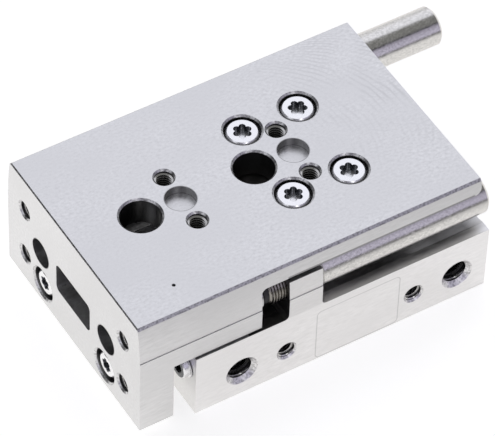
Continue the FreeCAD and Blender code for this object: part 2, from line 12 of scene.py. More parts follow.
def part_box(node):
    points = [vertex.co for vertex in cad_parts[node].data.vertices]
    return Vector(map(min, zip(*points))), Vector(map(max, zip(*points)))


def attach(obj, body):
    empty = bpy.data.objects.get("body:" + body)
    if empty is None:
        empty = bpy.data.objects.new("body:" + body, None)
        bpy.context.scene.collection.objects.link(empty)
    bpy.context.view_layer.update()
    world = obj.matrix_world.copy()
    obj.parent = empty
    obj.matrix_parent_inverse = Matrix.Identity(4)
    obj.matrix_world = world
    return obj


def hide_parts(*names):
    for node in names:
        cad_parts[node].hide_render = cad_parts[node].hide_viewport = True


bl_info = {
    "name": "Slide table finishing",
    "version": (1, 0, 0),
    "blender": (4, 5, 0),
    "location": "3D View > Sidebar > Slide table",
    "description": "Finishes, threads, screws, stop cartridges, balls and seals of a pneumatic slide table",
    "category": "Object",
}

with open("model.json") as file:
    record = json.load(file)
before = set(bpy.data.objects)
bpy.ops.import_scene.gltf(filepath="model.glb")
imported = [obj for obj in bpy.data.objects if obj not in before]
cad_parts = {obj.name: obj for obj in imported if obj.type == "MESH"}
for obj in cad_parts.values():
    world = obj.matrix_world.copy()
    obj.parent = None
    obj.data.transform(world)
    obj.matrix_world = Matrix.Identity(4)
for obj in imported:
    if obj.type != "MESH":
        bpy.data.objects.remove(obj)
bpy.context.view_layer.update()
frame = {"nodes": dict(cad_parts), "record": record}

MM = 0.001
X, Y, Z = range(3)
SEGMENTS = 72
SHARP_ANGLE = math.radians(38)

# Threads: steps in a turn, how deep a ridge is sunk into its wall, and its height as a share of the pitch

THREAD_STEPS = 28
SUNK = 0.03 * MM
OUTER_THREAD = 0.6
INNER_THREAD = 0.54

# Sizes of the solids that the finishes go by, in millimetres

YOKE_THICKNESS = 5.8
RIM_THICKNESS = 2.85
SIDE_TAPER = 0.9
ACCESS_SETBACK = 11.8
LUG_SETBACK = 16.3

# How far inside a face a finish starts, so that the face stays clear, in millimetres

SKIN = 0.05
MOUTH = 0.06

# The part of a noise texture's range that most of its values fill

NOISE_RANGE = (0.3, 0.7)


# Sizes and colours that a user would change

def length(name, description, millimetres):
    return FloatProperty(name=name, description=description, default=millimetres * MM, precision=5,
                         unit="LENGTH")


def angle(name, description, degrees):
    return FloatProperty(name=name, description=description, default=math.radians(degrees), unit="ROTATION")


def colour(name, description, red, green, blue):
    return FloatVectorProperty(name=name, description=description, default=(red, green, blue),
                               subtype="COLOR", size=3, min=0, max=1)


def factor(name, description, default):
    return FloatProperty(name=name, description=description, default=default, subtype="FACTOR", min=0, max=1)


class FinishSettings(bpy.types.PropertyGroup):
    table_colour: colour("Table", "Milled aluminium of the table", 0.68, 0.68, 0.685)
    housing_colour: colour("Housing", "Brushed aluminium of the housing", 0.84, 0.835, 0.835)
    turned_colour: colour("Turned parts", "Turned aluminium of covers and pistons", 0.66, 0.66, 0.67)
    polished_colour: colour("Polished steel", "Cartridge sleeves, rods and balls", 0.68, 0.67, 0.65)
    ground_colour: colour("Ground steel", "Rail and stop buttons", 0.55, 0.55, 0.56)
    screw_colour: colour("Screws", "Bright plated screws", 0.84, 0.84, 0.855)
    aluminium_roughness: factor("Aluminium roughness", "Mean roughness of milled and brushed faces", 0.36)
    # hole_shade and pin_shade set how light the painted shade leaves the walls of drilled holes and pin
    # holes
    hole_shade: factor("Hole shade", "How light the walls of drilled holes are", 0.2)
    pin_shade: factor("Pin hole shade", "How light the walls of the table's pin holes are", 0.6)
    label_left: length("Label left", "Front edge of the label's outline along X", -4.85)
    label_right: length("Label right", "Rear edge of the label's outline along X", 10.1)
    label_low: length("Label low", "Lower edge of the label's outline", 0.3)
    label_high: length("Label high", "Upper edge of the label's outline", 11.0)
    label_corner: length("Label corner", "Corner radius of the label's outline", 0.8)
    label_line: length("Label line", "Width of the label's outline", 0.11)


class ThreadSettings(bpy.types.PropertyGroup):
    m3_pitch: length("M3 pitch", "Pitch of the M3 threads", 0.5)
    m25_pitch: length("M2.5 pitch", "Pitch of the rod screws", 0.45)
    m5_pitch: length("Port pitch", "Pitch of the M5 port threads", 0.8)
    stop_pitch: length("Stop pitch", "Fine pitch of the stop cartridges", 0.5)
    set_screw_pitch: length("Set screw pitch", "Fine pitch of the front set screw", 0.5)
    first_turn: length("First turn", "Depth at which the thread of a tapped hole starts", 0.3)
    table_depth: length("Table threads", "Threaded depth in the table", 4.2)
    yoke_depth: length("Yoke threads", "Threaded depth in the yoke", 4.6)
    housing_depth: length("Housing threads", "Threaded depth in the housing's side and underside", 4.7)
    port_depth: length("Port threads", "Threaded depth of the air ports", 4.6)


class ScrewSettings(bpy.types.PropertyGroup):
    head_bevel: length("Head bevel", "Bevel round a screw's head", 0.36)
    lobe_outer: length("Recess, outer", "Outer radius of the six-lobed recess of an M3 screw", 1.5)
    lobe_inner: length("Recess, inner", "Inner radius of the six-lobed recess of an M3 screw", 1.06)
    recess_depth: length("Recess depth", "Depth of a screw's recess", 1.3)
    key_across: length("Hexagon", "Width over the flats of the cartridges' hexagon", 2.5)
    key_depth: length("Hexagon depth", "Depth of the cartridges' hexagon", 2.2)
    sleeve_radius: length("Sleeve radius", "Radius of a cartridge's polished sleeve", 3.3)
    sleeve_length: length("Sleeve length", "Length of a cartridge's polished sleeve", 30.5)
    sleeve_chamfer: length("Sleeve chamfer", "Chamfer at both ends of a sleeve", 0.5)
    stud_radius: length("Stud radius", "Outer radius of a cartridge's threaded stud", 2.98)
    socket_radius: length("Set screw socket", "Radius of the front set screw's hollow", 1.1)
    ball_radius: length("Ball radius", "Radius of the carriage's balls", 0.72)
    ball_row: length("Ball row", "Distance of a row of balls from the rail's side", 0.175)
    seal_radius: length("Seal radius", "Section radius of the covers' O-rings", 0.44)


class StudioSettings(bpy.types.PropertyGroup):
    view_x: length("Aim X", "Point that the camera looks at, along X", -3.92)
    view_y: length("Aim Y", "Point that the camera looks at, along Y", 1.55)
    view_z: length("Aim Z", "Point that the camera looks at, along Z", 10.7)
    azimuth: angle("Azimuth", "Camera's direction around the part", -32.876)
    elevation: angle("Elevation", "Camera's height above the horizon", 48.221)
    roll: angle("Roll", "Camera's turn about its own line of sight", 2.253)
    distance: length("Distance", "Camera's distance from the point that it looks at", 640.0)
    lens: FloatProperty(name="Lens", description="Focal length of the camera", default=300.08, unit="CAMERA")
    lamp_power: FloatProperty(name="Lamp", description="Power of the soft lamp", default=0.45, unit="POWER")
    lamp_size: length("Lamp size", "Side of the soft lamp", 220.0)
    floor_size: length("Floor", "Side of the floor", 6000.0)


# Meshes

def finish_mesh(name, bm, body, finishes, replaced=()):
    """Turns bm, which is in the row frame, into a piece that rides on body, with finishes in their order."""
    bmesh.ops.recalc_face_normals(bm, faces=bm.faces)
    mesh = bpy.data.meshes.new(name)
    bm.to_mesh(mesh)
    bm.free()
    for finish in finishes:
        mesh.materials.append(bpy.data.materials[finish + "_finish"])
    mesh.polygons.foreach_set("use_smooth", [True] * len(mesh.polygons))
    mesh.set_sharp_from_angle(angle=SHARP_ANGLE)
    piece = bpy.data.objects.new(name, mesh)
    bpy.context.scene.collection.objects.link(piece)
    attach(piece, body)
    if replaced:
        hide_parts(*replaced)
    return piece


def placed(start, direction):
    """Matrix that takes +Z at the origin to direction at start, and +X to X, or to Y along X."""
    ahead = Vector(direction)
    side = Vector((0, 1, 0)) if abs(ahead.x) > 0.5 else Vector((1, 0, 0))
    turn = Matrix((side, ahead.cross(side), ahead)).transposed().to_4x4()
    return Matrix.Translation(Vector(start)) @ turn


def round_ring(radius):
    return lambda turn: radius


def lobed_ring(outer, inner, phase):
    """Six round lobes between an outer and an inner radius, the first one at phase."""
    fullness = 0.4
    return lambda turn: inner + (outer - inner) * (0.5 + 0.5 * math.cos(6 * (turn - phase))) ** fullness


def hexagon_ring(across):
    sixth = math.pi / 3
    return lambda turn: across / 2 / math.cos((turn % sixth) - sixth / 2)


def add_lathe(bm, matrix, rings, lined=0):
    """Adds a closed skin through rings, each a height along +Z and a radius for every angle.

    The first bands, as many as lined says, have the piece's second finish.
    """
    turns = [2 * math.pi * k / SEGMENTS for k in range(SEGMENTS)]
    loops = []
    for height, radius in rings:
        spots = [Vector((radius(t) * math.cos(t), radius(t) * math.sin(t), height)) for t in turns]
        loops.append([bm.verts.new(matrix @ spot) for spot in spots])
    for band, (low, high) in enumerate(zip(loops, loops[1:])):
        for k in range(SEGMENTS):
            after = (k + 1) % SEGMENTS
            face = bm.faces.new((low[k], low[after], high[after], high[k]))
            face.material_index = int(band < lined)
    bm.faces.new(loops[0])
    bm.faces.new(loops[-1])


def add_ring(bm, matrix, section, finish=0):
    """Adds a ring: a closed section of heights and radii turned about +Z."""
    loops = []
    for k in range(SEGMENTS):
        turn = 2 * math.pi * k / SEGMENTS
        spots = [Vector((radius * math.cos(turn), radius * math.sin(turn), height))
                 for height, radius in section]
        loops.append([bm.verts.new(matrix @ spot) for spot in spots])
    for k in range(SEGMENTS):
        low, high = loops[k], loops[(k + 1) % SEGMENTS]
        for j in range(len(section)):
            after = (j + 1) % len(section)
            bm.faces.new((low[j], low[after], high[after], high[j])).material_index = finish


def add_thread(bm, matrix, root, crest, pitch, start, end, finish=0):
    """Adds a closed helical ridge about +Z that fades into its wall at both ends."""
    half_foot, half_flat, least_fade = 0.36, 0.08, 0.04
    turns = (end - start) / pitch
    count = int(turns * THREAD_STEPS)
    loops = []
    for k in range(count + 1):
        turn = turns * k / count
        fade = max(min(1, 2 * turn, 2 * (turns - turn)), least_fade)
        tip = root + (crest - root) * fade
        height = start + turn * pitch
        section = ((root, -half_foot), (tip, -half_flat), (tip, half_flat), (root, half_foot))
        around = Vector((math.cos(2 * math.pi * turn), math.sin(2 * math.pi * turn), 0))
        spots = [around * radius + Vector((0, 0, height + part * pitch)) for radius, part in section]
        loops.append([bm.verts.new(matrix @ spot) for spot in spots])
    for low, high in zip(loops, loops[1:]):
        for k in range(4):
            after = (k + 1) % 4
            bm.faces.new((low[k], low[after], high[after], high[k])).material_index = finish
    for end_loop in (loops[0], loops[-1]):
        bm.faces.new(end_loop).material_index = finish


# Shader trees

def new_material(name):
    """Material whose ending keeps its name apart from the frame's own, which has the plain one."""
    material = bpy.data.materials.new(name + "_finish")
    material.use_nodes = True
    tree = material.node_tree
    return material, tree, tree.nodes["Principled BSDF"]


def add_node(tree, kind, inputs, **settings):
    """Adds a node; each input is a value or the output that feeds it."""
    node = tree.nodes.new("ShaderNode" + kind)
    for key, value in settings.items():
        setattr(node, key, value)
    for key, value in inputs.items():
        if isinstance(value, bpy.types.NodeSocket):
            tree.links.new(value, node.inputs[key])
        else:
            node.inputs[key].default_value = value
    return node


def maths(tree, operation, *values):
    return add_node(tree, "Math", dict(enumerate(values)), operation=operation).outputs[0]


def product(tree, *values):
    result = values[0]
    for value in values[1:]:
        result = maths(tree, "MULTIPLY", result, value)
    return result


def any_of(tree, masks):
    """The strongest of some masks."""
    result = masks[0]
    for mask in masks[1:]:
        result = maths(tree, "MAXIMUM", result, mask)
    return result


def below(tree, value, limit):
    return maths(tree, "LESS_THAN", value, limit)


def above(tree, value, limit):
    return maths(tree, "GREATER_THAN", value, limit)


def within(tree, value, low, high):
    """1 where value lies between low and high."""
    return product(tree, above(tree, value, low), below(tree, value, high))


def scaled(tree, value, low, high, to_low=0.0, to_high=1.0):
    """Takes value's range from low to high to another one, and holds it at its ends."""
    inputs = {0: value, 1: low, 2: high, 3: to_low, 4: to_high}
    return add_node(tree, "MapRange", inputs).outputs[0]


def mixed(tree, share, first, second):
    """Colour mix of first and second by share."""
    inputs = {0: share, 6: first, 7: second}
    return add_node(tree, "Mix", inputs, data_type="RGBA").outputs[2]


def tinted(colour_value, share):
    return tuple(min(1, channel * share) for channel in colour_value) + (1,)


def position_mm(tree):
    """Place on the part in millimetres, in the row frame."""
    spot = add_node(tree, "TexCoord", {}).outputs["Object"]
    return add_node(tree, "VectorMath", {0: spot, "Scale": 1 / MM}, operation="SCALE").outputs[0]


def split(tree, vector):
    return add_node(tree, "SeparateXYZ", {0: vector}).outputs


def normal_part(tree, axis):
    """Size of the face normal's part along an axis."""
    normal = add_node(tree, "TexCoord", {}).outputs["Normal"]
    return maths(tree, "ABSOLUTE", split(tree, normal)[axis])


def is_level(tree):
    return above(tree, normal_part(tree, Z), 0.9)


def is_wall(tree, axis):
    """1 on faces that run along an axis, as the walls of its holes do."""
    return below(tree, normal_part(tree, axis), 0.5)


def is_chamfer(tree, axis):
    """1 on faces at about 45 degrees to an axis."""
    return within(tree, normal_part(tree, axis), 0.6, 0.8)


def noise(tree, position, stretch, detail=3, roughness=0.55):
    """Noise with its own frequency per millimetre along each axis."""
    spot = add_node(tree, "VectorMath", {0: position, 1: stretch}, operation="MULTIPLY").outputs[0]
    inputs = {"Vector": spot, "Scale": 1.0, "Detail": detail, "Roughness": roughness}
    return add_node(tree, "TexNoise", inputs).outputs[0]


def bumped(tree, shader, height, depth_mm):
    inputs = {"Height": height, "Distance": depth_mm * MM, "Strength": 1.0}
    tree.links.new(add_node(tree, "Bump", inputs).outputs[0], shader.inputs["Normal"])


def metal(name, base, roughness, stretch, spread=0.05, depth_mm=0.002, shade=None, arcs=None,
          top_stretch=None):
    """Bare metal with fine marks: stretch gives their frequency per millimetre along each axis.

    A level face has marks of its own where top_stretch is given, and arcs where they are. Where shade is
    given, its mask darkens the metal: mostly with painted shade, and in a few places with real marks such as
    tool marks and a label's outline.
    """
    cloud_stretch, cloud_share = (0.06, 0.09, 0.12), 0.6
    cloud_tint, arc_tint, shade_tint = 0.95, 0.8, 0.08
    material, tree, shader = new_material(name)
    position = position_mm(tree)
    faint, clear = (0.2, 0.8) if top_stretch else (0.0, 1.0)
    marks = scaled(tree, noise(tree, position, stretch), *NOISE_RANGE, faint, clear)
    if top_stretch:
        fine = scaled(tree, noise(tree, position, top_stretch), *NOISE_RANGE)
        marks = scaled(tree, is_level(tree), 0.0, 1.0, marks, fine)
    cloud = scaled(tree, noise(tree, position, cloud_stretch, detail=2), 0.35, 0.65, 0.0, cloud_share)
    tone = mixed(tree, marks, tinted(base, 1 - spread), tinted(base, 1 + spread))
    tone = mixed(tree, cloud, tone, tinted(base, cloud_tint))
    if arcs:
        tone = mixed(tree, product(tree, arcs(tree, position), is_level(tree)), tone, tinted(base, arc_tint))
    if shade:
        tone = mixed(tree, shade(tree, position), tone, tinted(base, shade_tint))
    tree.links.new(tone, shader.inputs["Base Color"])
    shader.inputs["Metallic"].default_value = 1.0
    uneven = scaled(tree, marks, 0.2, 0.8, roughness * 0.85, roughness * 1.15)
    tree.links.new(uneven, shader.inputs["Roughness"])
    bumped(tree, shader, marks, depth_mm)
    return material


def soft(name, base, roughness, grain, depth_mm=0.01):
    """Rubber or moulded plastic with a fine grain."""
    material, tree, shader = new_material(name)
    marks = noise(tree, position_mm(tree), (grain,) * 3)
    tone = mixed(tree, marks, tinted(base, 0.7), tinted(base, 1.3))
    tree.links.new(tone, shader.inputs["Base Color"])
    uneven = scaled(tree, marks, *NOISE_RANGE, roughness * 0.85, roughness * 1.1)
    tree.links.new(uneven, shader.inputs["Roughness"])
    bumped(tree, shader, marks, depth_mm)
    return material


# Masks by place on the part, in millimetres

def cutter_arcs(tree, position):
    """Arcs that a face mill leaves on the table's top, its path along X; they are clearest at the rear."""
    mill_radius, spacing, least_chord = 20.0, 1.1, 1.0
    wobble, sharpness, strength = 9.0, 3.0, 0.9
    x, y, _ = split(tree, position)
    chord = maths(tree, "SUBTRACT", mill_radius ** 2, maths(tree, "MULTIPLY", y, y))
    arc = maths(tree, "SUBTRACT", x, maths(tree, "SQRT", maths(tree, "MAXIMUM", chord, least_chord)))
    even = maths(tree, "MULTIPLY", arc, 2 * math.pi / spacing)
    uneven = maths(tree, "MULTIPLY", noise(tree, position, (0.35, 0.12, 0.3)), wobble)
    sine = maths(tree, "SINE", maths(tree, "ADD", even, uneven))
    wave = maths(tree, "POWER", scaled(tree, sine, -1.0, 1.0), sharpness)
    rear = product(tree, scaled(tree, x, 0.0, 20.0, 0.05, 1.0), scaled(tree, y, -14.0, 6.0, 0.15, 1.0))
    patchy = scaled(tree, noise(tree, position, (0.16, 0.2, 0.2)), 0.35, 0.65)
    return product(tree, wave, rear, patchy, strength)


def hole_places(name):
    """Places of a mount's holes in millimetres, and their radius."""
    entry = mount(name)
    return [spot / MM for spot in pattern_places(entry)], entry["dims"]["hole_r_mm"]


def off_axis(tree, xyz, place, axes):
    """Distance from the axis of a hole at place; axes are the two across it."""
    first, second = (maths(tree, "SUBTRACT", xyz[k], place[k]) for k in axes)
    squares = maths(tree, "ADD", product(tree, first, first), product(tree, second, second))
    return maths(tree, "SQRT", squares)


def pin_walls(tree, position, name, axes, along):
    """1 on the walls of a mount's pin holes, which run along one axis; axes are the two across them."""
    xyz = split(tree, position)
    places, radius = hole_places(name)
    reach = radius + 0.1
    near = any_of(tree, [below(tree, off_axis(tree, xyz, place, axes), reach) for place in places])
    return product(tree, near, is_wall(tree, along))


def window_walls(tree, position):
    """1 on the walls of the yoke's window."""
    half_width, under, over = 5.4, 8.5, 15.0
    x, y, z = split(tree, position)
    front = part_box("slide_table")[0].x / MM
    through = within(tree, x, front + SKIN, front + YOKE_THICKNESS + SKIN)
    return product(tree, through, within(tree, y, -half_width, half_width), within(tree, z, under, over))


def dimple(tree, position):
    """1 in the dark dot at the top's near front corner, painted shade of a small punched dimple."""
    from_front, from_side, dark_radius, clear_radius = 9.1, 5.85, 0.26, 0.32
    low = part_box("slide_table")[0] / MM
    centre = (low.x + from_front, low.y + from_side)
    away = off_axis(tree, split(tree, position), centre, (X, Y))
    return scaled(tree, away, dark_radius, clear_radius, 1.0, 0.0)


def cut_edges(tree, position, axis, depth):
    """Tool marks on the chamfers of holes that open along an axis; depth is how dark they are."""
    marks = noise(tree, position, (2.6, 2.6, 2.6), detail=2)
    return product(tree, is_chamfer(tree, axis), scaled(tree, marks, 0.42, 0.62, 0.0, depth))


def near_chamfer(tree, position):
    """Painted shade along the table's near top chamfer, made uneven with noise."""
    under, side, depth = 23.0, -18.0, 0.26
    _, y, z = split(tree, position)
    edge = product(tree, is_chamfer(tree, Z), above(tree, z, under), below(tree, y, side))
    marks = noise(tree, position, (0.8, 2.0, 2.0))
    return product(tree, edge, scaled(tree, marks, *NOISE_RANGE, 0.0, depth))


def rim_lines(tree, position):
    """1 on the thin dark line round each pin hole's mouth, painted shade at its edge."""
    outside, dark_half, clear_half = 0.02, 0.05, 0.13
    xyz = split(tree, position)
    masks = []
    for name, axes in (("table_pins", (X, Y)), ("yoke_pins", (Y, Z))):
        places, radius = hole_places(name)
        for place in places:
            past = maths(tree, "SUBTRACT", off_axis(tree, xyz, place, axes), radius + outside)
            masks.append(scaled(tree, maths(tree, "ABSOLUTE", past), dark_half, clear_half, 1.0, 0.0))
    return any_of(tree, masks)


def rear_flank(tree, position):
    """Painted shade: slightly darker towards the rear of the table's near side."""
    clear_at, dark_at, depth = -10.0, 24.0, 0.07
    x, y, _ = split(tree, position)
    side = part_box("slide_table")[0].y / MM
    return product(tree, below(tree, y, side + SIDE_TAPER), scaled(tree, x, clear_at, dark_at, 0.0, depth))


def rim_edge(tree, position):
    """Painted shadow: a dark line along the lower edge of the table's rim, in the gap over the near sleeve.
    """
    under, over, rear_gap, depth = 0.1, 0.3, 1.2, 0.62
    x, y, z = split(tree, position)
    low, high = (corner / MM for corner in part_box("slide_table"))
    edge = high.z - RIM_THICKNESS
    lug_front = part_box("housing")[0].x / MM + LUG_SETBACK
    line = product(tree, below(tree, y, low.y + SIDE_TAPER), within(tree, z, edge - under, edge + over))
    return product(tree, line, within(tree, x, lug_front, high.x - rear_gap), depth)


def table_holes(tree, position):
    """1 on the walls of the holes in the table's top and in the yoke's front."""
    top_reach, top_setback = 11.0, 7.0
    yoke_reach, foot_gap, top_gap = 18.0, 0.8, 3.0
    x, y, z = split(tree, position)
    low, high = (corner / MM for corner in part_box("slide_table"))
    over_body = product(tree, within(tree, x, low.x + top_setback, high.x - MOUTH),
                        within(tree, y, -top_reach, top_reach))
    top = product(tree, is_wall(tree, Z), below(tree, z, high.z - MOUTH), over_body)
    behind = within(tree, x, low.x + MOUTH, low.x + YOKE_THICKNESS + SKIN)
    face = product(tree, within(tree, y, -yoke_reach, yoke_reach),
                   within(tree, z, low.z + foot_gap, high.z - top_gap))
    yoke = product(tree, is_wall(tree, X), behind, face)
    return maths(tree, "MAXIMUM", top, yoke)


def housing_holes(tree, position):
    """1 on the walls of the ports and threads in the housing's near side."""
    deepest, end_gap, under, over = 5.6, 0.5, 2.4, 8.0
    x, y, z = split(tree, position)
    low, high = (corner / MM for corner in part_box("housing"))
    deep = within(tree, y, low.y + MOUTH, low.y + deepest)
    band = product(tree, within(tree, z, under, over), within(tree, x, low.x + end_gap, high.x - end_gap))
    return product(tree, is_wall(tree, Y), deep, band)


def under_access(tree, position):
    """Painted shade on the rail and on its seat, where the table's front access hole looks down on them."""
    front_clear, front_dark, rear_dark, rear_clear = -8.0, -4.0, 9.0, 20.0
    near_end, far_dark, far_clear = -6.0, 10.0, 15.0
    under, over, depth = 3.0, 18.0, 0.85
    x, y, z = split(tree, position)
    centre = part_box("slide_table")[0].x / MM + ACCESS_SETBACK
    ahead = scaled(tree, x, centre + front_clear, centre + front_dark)
    behind = scaled(tree, x, centre + rear_dark, centre + rear_clear, 1.0, 0.0)
    beside = product(tree, above(tree, y, near_end), scaled(tree, y, far_dark, far_clear, 1.0, 0.0))
    return product(tree, ahead, behind, beside, within(tree, z, under, over), depth)


def stop_notch(tree, position):
    """Shaded inside of the notch where the near stop's tip meets the table's skirt."""
    notch_length, inner_side, notch_floor, edge, depth = 7.0, -11.0, 7.0, 0.03, 0.8
    x, y, z = split(tree, position)
    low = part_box("housing")[0] / MM
    lug_front = low.x + LUG_SETBACK
    between = product(tree, within(tree, x, lug_front - notch_length, lug_front + edge),
                      within(tree, y, low.y + edge, inner_side))
    return product(tree, between, above(tree, z, notch_floor), depth)


def painted_lug_shade(tree, position):
    """Painted shade that makes the side of the near lug slightly darker."""
    side, foot, depth = -19.0, 12.6, 0.14
    _, y, z = split(tree, position)
    return product(tree, below(tree, y, side), scaled(tree, z, foot, foot + 0.4, 0.0, depth))


def deck_shadow(tree, position):
    """Painted shadow on the deck below the near stop sleeve, fading towards the rear and the side."""
    inner_side, under, over = -12.0, 7.0, 13.0
    clear_rim, dark_rim, rear_length, rear_share = 0.3, 1.2, 3.0, 0.35
    middle_start, sleeve_start, sleeve_end = -2.0, 8.0, 18.0
    middle_depth, sleeve_depth = 0.5, 0.85
    x, y, z = split(tree, position)
    low, high = (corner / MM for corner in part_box("housing"))
    upward = product(tree, above(tree, normal_part(tree, Z), 0.3), within(tree, z, under, over))
    beside = product(tree, below(tree, y, inner_side), scaled(tree, y, low.y + clear_rim, low.y + dark_rim))
    near_rear = scaled(tree, x, high.x - rear_length, high.x, 1.0, rear_share)
    middle = scaled(tree, x, middle_start, sleeve_start, 0.0, middle_depth)
    under_sleeve = product(tree, scaled(tree, y, -19.4, -18.7),
                           scaled(tree, x, sleeve_start, sleeve_end, 0.0, sleeve_depth))
    return product(tree, upward, beside, near_rear, maths(tree, "MAXIMUM", middle, under_sleeve))


def thread_depth(tree, position):
    """Painted shade: darker deeper down a tapped hole, from whichever face it opens in."""
    clear_at, dark_at, most = 0.5, 2.2, 0.85
    x, y, z = split(tree, position)
    table_low, table_high = (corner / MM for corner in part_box("slide_table"))
    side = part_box("housing")[0].y / MM
    from_top = maths(tree, "SUBTRACT", table_high.z, z)
    from_front = maths(tree, "SUBTRACT", x, table_low.x)
    from_side = maths(tree, "SUBTRACT", y, side)
    in_table = maths(tree, "MINIMUM", from_top, from_front)
    in_housing = maths(tree, "MINIMUM", from_side, z)
    return scaled(tree, maths(tree, "MINIMUM", in_table, in_housing), clear_at, dark_at, 0.0, most)


def label_outline(tree, position, settings):
    """1 on the thin outline where a label would sit on the housing's near side."""
    x, y, z = split(tree, position)
    left, right, low, high, corner, line = (
        getattr(settings, "label_" + part) / MM
        for part in ("left", "right", "low", "high", "corner", "line"))
    out_x = maths(tree, "ABSOLUTE", maths(tree, "SUBTRACT", x, (left + right) / 2))
    out_z = maths(tree, "ABSOLUTE", maths(tree, "SUBTRACT", z, (low + high) / 2))
    past_x = maths(tree, "SUBTRACT", out_x, (right - left) / 2 - corner)
    past_z = maths(tree, "SUBTRACT", out_z, (high - low) / 2 - corner)
    inner = maths(tree, "MINIMUM", maths(tree, "MAXIMUM", past_x, past_z), 0.0)
    corner_x = maths(tree, "POWER", maths(tree, "MAXIMUM", past_x, 0.0), 2.0)
    corner_z = maths(tree, "POWER", maths(tree, "MAXIMUM", past_z, 0.0), 2.0)
    round_part = maths(tree, "SQRT", maths(tree, "ADD", corner_x, corner_z))
    away = maths(tree, "SUBTRACT", maths(tree, "ADD", inner, round_part), corner)
    near_line = scaled(tree, maths(tree, "ABSOLUTE", away), line / 2, line, 1.0, 0.0)
    return product(tree, near_line, below(tree, y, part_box("housing")[0].y / MM + 0.1))


# Finishes by material slot

def table_aluminium(settings):
    def shade(tree, spot):
        top_pins = pin_walls(tree, spot, "table_pins", (X, Y), Z)
        yoke_pins = pin_walls(tree, spot, "yoke_pins", (Y, Z), X)
        window = window_walls(tree, spot)
        pale = any_of(tree, [top_pins, yoke_pins, window])
        others = product(tree, table_holes(tree, spot), maths(tree, "SUBTRACT", 1.0, pale))
        # Painted shade: walls of holes, pin holes and the window, pin hole rims, near chamfer, dimple, rear
        # flank and rim edge; cut_edges are real tool marks
        return any_of(tree, [
            product(tree, others, 1 - settings.hole_shade),
            product(tree, top_pins, 1 - settings.pin_shade),
            product(tree, window, 0.25),
            product(tree, rim_lines(tree, spot), 0.55),
            near_chamfer(tree, spot),
            dimple(tree, spot),
            rear_flank(tree, spot),
            rim_edge(tree, spot),
            cut_edges(tree, spot, Z, 0.55),
            cut_edges(tree, spot, X, 0.35),
        ])

    return metal("table_aluminium", settings.table_colour, settings.aluminium_roughness, (0.5, 2.2, 2.2),
                 spread=0.16, depth_mm=0.004, shade=shade, arcs=cutter_arcs, top_stretch=(1.5, 2.1, 2.0))


def housing_aluminium(settings):
    def shade(tree, spot):
        # Painted shade: hole walls, below the access hole, the deck, the notch and the lug; the label's
        # outline and cut_edges are real marks
        return any_of(tree, [
            product(tree, housing_holes(tree, spot), 1 - settings.hole_shade),
            product(tree, label_outline(tree, spot, settings), 0.3),
            under_access(tree, spot),
            deck_shadow(tree, spot),
            stop_notch(tree, spot),
            painted_lug_shade(tree, spot),
            cut_edges(tree, spot, Y, 0.45),
        ])

    return metal("housing_aluminium", settings.housing_colour, settings.aluminium_roughness * 1.05,
                 (0.7, 2.4, 2.4), spread=0.07, depth_mm=0.0015, shade=shade)


def turned_aluminium(settings):
    return metal("turned_aluminium", settings.turned_colour, 0.3, (12.0, 0.6, 0.6))


def ground_steel(settings):
    # under_access paints shade on the rail below the table's front access hole
    return metal("ground_steel", settings.ground_colour, 0.24, (0.2, 2.6, 2.6), shade=under_access)


def polished_steel(settings):
    return metal("polished_steel", settings.polished_colour, 0.23, (2.4, 3.0, 3.0), spread=0.2,
                 depth_mm=0.0003)


def screw_steel(settings):
    return metal("screw_steel", settings.screw_colour, 0.26, (3.0, 3.0, 3.0), spread=0.03, depth_mm=0.001)


def spring_steel(settings):
    return metal("spring_steel", (0.22, 0.22, 0.23), 0.4, (4.0, 4.0, 4.0))


def dark_steel(settings):
    return metal("dark_steel", (0.12, 0.115, 0.11), 0.38, (0.5, 8.0, 8.0))


def bush_bronze(settings):
    return metal("bush_bronze", (0.55, 0.38, 0.2), 0.35, (7.0, 7.0, 7.0), spread=0.12)


def magnet(settings):
    return metal("magnet", (0.2, 0.2, 0.21), 0.5, (5.0, 5.0, 5.0), spread=0.15)


def black_rubber(settings):
    return soft("black_rubber", (0.022, 0.022, 0.023), 0.62, 6.0)


def black_plastic(settings):
    return soft("black_plastic", (0.035, 0.035, 0.038), 0.42, 9.0, depth_mm=0.006)


def cut_thread(settings):
    """Bare flanks of a tapped thread, with painted shade deep down."""
    return metal("cut_thread", (0.6, 0.595, 0.58), 0.25, (4.0, 4.0, 4.0), shade=thread_depth)


def recess_steel(settings):
    """Steel darkened as painted shade, for the recesses of screws and the hollow of the set screw."""
    return metal("recess_steel", (0.2, 0.207, 0.22), 0.3, (2.5, 2.5, 2.5), spread=0.5)


def thread_steel(settings):
    """Darker threads of the stop cartridges."""
    return metal("thread_steel", (0.30, 0.285, 0.26), 0.25, (2.5, 2.5, 2.5), spread=0.2)


FINISHES = (
    table_aluminium, housing_aluminium, turned_aluminium, ground_steel, polished_steel, screw_steel,
    spring_steel, dark_steel, bush_bronze, magnet, black_rubber, black_plastic, cut_thread, recess_steel,
    thread_steel,
)


class SLIDETABLE_OT_finish_solids(bpy.types.Operator):
    """Give every solid of the part its finish"""
    bl_idname = "slide_table.finish_solids"
    bl_label = "Finish solids"

    def execute(self, context):
        made = {build.__name__: build(context.scene.slide_finish) for build in FINISHES}
        for part in frame["record"]["subparts"]:
            solid = frame["nodes"][part["node"]]
            for slot in solid.material_slots:
                slot.material = made[part["material_slot"]]
        return {"FINISHED"}


# Threads

def mount(name):
    return next(entry for entry in frame["record"]["mounts"] if entry["name"] == name)


